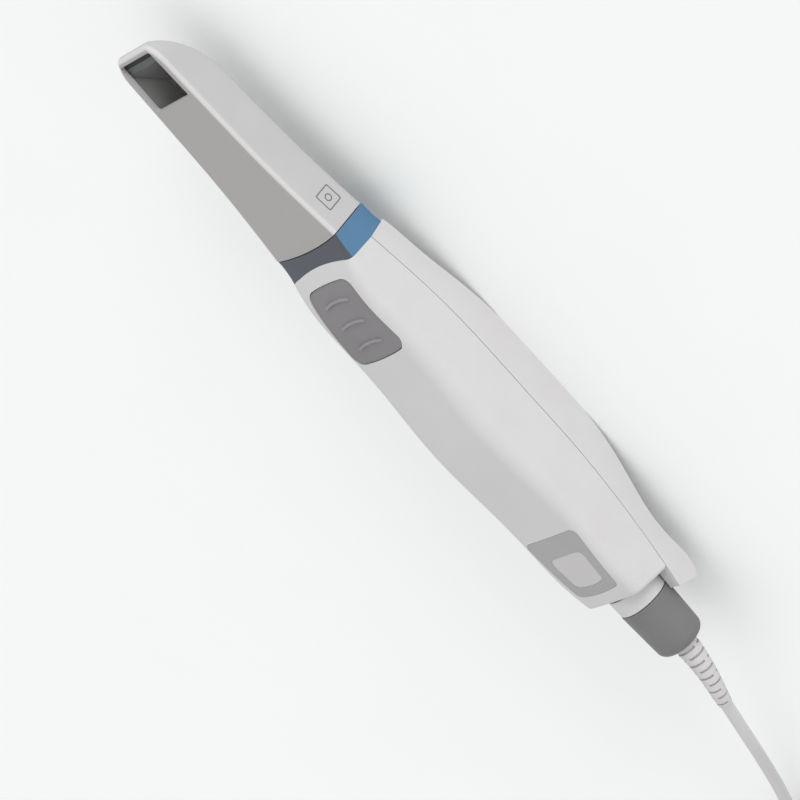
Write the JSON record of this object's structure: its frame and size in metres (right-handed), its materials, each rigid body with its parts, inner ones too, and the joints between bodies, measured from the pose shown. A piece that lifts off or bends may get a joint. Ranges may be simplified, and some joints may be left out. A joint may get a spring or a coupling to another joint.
{
  "type": "intraoral scanner",
  "caption": "Hand-held intraoral scanner with a slip-on mirror tip, a front button, a tail connector and a coiled cable.",
  "frame": {"origin": "on the surface it rests on, under the middle of the scanner's own box without the cord", "axes": "+Y towards the tip, +Z out of the front face with the button, +X to the side"},
  "size_m": [0.0893, 0.4174, 0.034],
  "materials": {
    "white_abs": "satin moulded",
    "tip_plastic": "fine satin",
    "slate_plastic": "satin",
    "blue_plastic": "satin",
    "black_plastic": "matte, light absorbing",
    "mirror_glass": "front-silvered",
    "window_glass": "coated",
    "spring_steel": "plain",
    "steel_screw": "turned",
    "aluminium": "milled",
    "lens_barrel": "black anodised",
    "circuit_board": "solder mask",
    "button_rubber": "matte",
    "socket_plastic": "moulded",
    "flex_film": "polyimide",
    "label_grey": "printed film",
    "label_light": "printed film",
    "sleeve_grey": "satin moulded",
    "relief_grey": "moulded",
    "cord_jacket": "extruded",
    "tie_fabric": "hook and loop",
    "white_insulator": "moulded"
  },
  "bodies": {
    "root": {"front_shell": "white_abs", "back_cover": "white_abs", "shell_screws": "steel_screw", "collar_front": "slate_plastic", "collar_band": "blue_plastic", "optical_nose": "black_plastic", "nose_window": "window_glass", "tip_spring_left": "spring_steel", "tip_spring_right": "spring_steel", "chassis": "aluminium", "lens_holder": "black_plastic", "camera_lens_left": "lens_barrel", "camera_lens_right": "lens_barrel", "projector_lens": "lens_barrel", "camera_board_left": "circuit_board", "camera_board_right": "circuit_board", "projector": "black_plastic", "light_board": "circuit_board", "heat_sink": "aluminium", "button_board": "circuit_board", "button_switch": "black_plastic", "main_board": "circuit_board", "flex_socket": "socket_plastic", "lead_socket": "socket_plastic", "board_shield": "spring_steel", "board_screws": "steel_screw", "flat_cable": "flex_film", "label_plate": "label_grey", "label_panel": "label_light", "cable_neck": "white_abs", "neck_nut": "aluminium", "neck_socket": "black_plastic", "connector_core": "black_plastic", "connector_sleeve": "sleeve_grey", "inner_lead": "cord_jacket", "lead_plug": "socket_plastic", "strain_relief": "relief_grey", "cord_run": "cord_jacket", "cord_coil": "cord_jacket", "cord_tail": "cord_jacket", "coil_tie": "tie_fabric", "plug_relief": "relief_grey", "plug_body": "sleeve_grey", "plug_shell": "spring_steel", "plug_tongue": "white_insulator"},
    "tip": {"tip_shell": "tip_plastic", "mirror_holder": "black_plastic", "tip_mirror": "mirror_glass"},
    "button": {"button_panel": "button_rubber"}
  },
  "joints": [
    {"name": "tip_slide", "type": "slide", "parent": "root", "child": "tip", "axis": [0, 1, 0], "range_m": [0, 0.065]},
    {"name": "button_press", "type": "slide", "parent": "root", "child": "button", "axis": [0, 0, -1], "range_m": [0, 0.0004], "stiffness_N_per_m": 2000}
  ]
}
